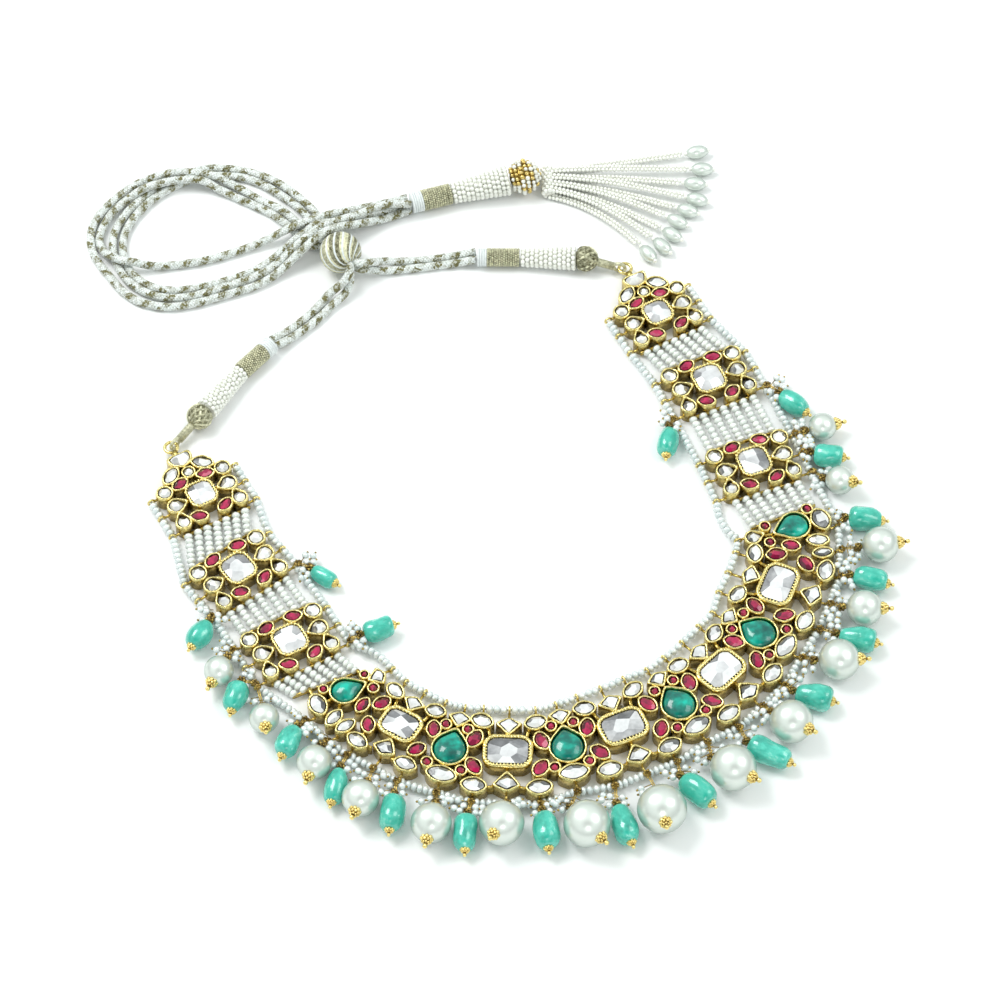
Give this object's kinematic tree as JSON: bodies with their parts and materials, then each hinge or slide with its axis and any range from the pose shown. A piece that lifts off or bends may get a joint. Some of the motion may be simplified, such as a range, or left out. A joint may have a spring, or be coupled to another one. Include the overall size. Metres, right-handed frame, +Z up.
{
  "type": "kundan necklace",
  "caption": "U-shaped bib necklace of stone-set gold panels on pearl strands, with a pearl and green bead fringe and a braided adjustable cord ending in a tassel.",
  "frame": {"origin": "middle of the neck opening, on the surface that the necklace lies on", "axes": "+Z up from that surface, +Y from the panel's middle towards the cord, +X to the right seen from above"},
  "size_m": [0.1936, 0.2508, 0.0128],
  "materials": {
    "gold": "antique satin",
    "crystal": "foil backed",
    "diamond": "flat cut, foil backed",
    "ruby": "cut, foil backed",
    "emerald": "cut, foil backed",
    "green_bead": "tumbled, polished",
    "pearl": "lustrous",
    "seed_pearl": "lustrous",
    "seed_bead": "glossy, woven",
    "braid": "braided silk with gilt thread",
    "gold_thread": "wound gilt thread"
  },
  "bodies": {
    "root": {"emerald_setting_1": "gold", "emerald_setting_2": "gold", "emerald_setting_3": "gold", "emerald_setting_4": "gold", "emerald_setting_5": "gold", "emerald_setting_6": "gold", "crystal_setting_1": "gold", "crystal_setting_2": "gold", "crystal_setting_3": "gold", "crystal_setting_4": "gold", "crystal_setting_5": "gold", "left_plaque_1": "gold", "left_plaque_2": "gold", "left_plaque_3": "gold", "right_plaque_1": "gold", "right_plaque_2": "gold", "right_plaque_3": "gold", "emerald_1": "emerald", "emerald_2": "emerald", "emerald_3": "emerald", "emerald_4": "emerald", "emerald_5": "emerald", "emerald_6": "emerald", "crystal_1": "crystal", "crystal_2": "crystal", "crystal_3": "crystal", "crystal_4": "crystal", "crystal_5": "crystal", "left_strands_1": "seed_pearl", "left_strands_2": "seed_pearl", "left_strands_3": "seed_pearl", "right_strands_1": "seed_pearl", "right_strands_2": "seed_pearl", "right_strands_3": "seed_pearl", "left_cord_a": "braid", "left_cord_b": "braid", "right_cord_a": "braid", "right_cord_b": "braid", "plaque_crystals": "crystal", "panel_diamonds": "diamond", "plaque_diamonds": "diamond", "panel_rubies": "ruby", "plaque_rubies": "ruby", "outer_edge_string": "seed_pearl", "inner_edge_string": "seed_pearl", "fringe_pearls": "pearl", "fringe_green_beads": "green_bead", "fringe_caps": "gold", "slider_knot": "gold_thread", "left_wrap": "gold_thread", "right_wrap": "gold_thread", "tassel_wrap": "gold_thread", "left_sleeve": "seed_bead", "right_sleeve": "seed_bead", "tassel_sleeve": "seed_bead", "left_end_cap": "gold_thread", "right_end_cap": "gold_thread", "tassel_ball": "seed_bead", "tassel_strings": "seed_pearl"}
  },
  "joints": []
}
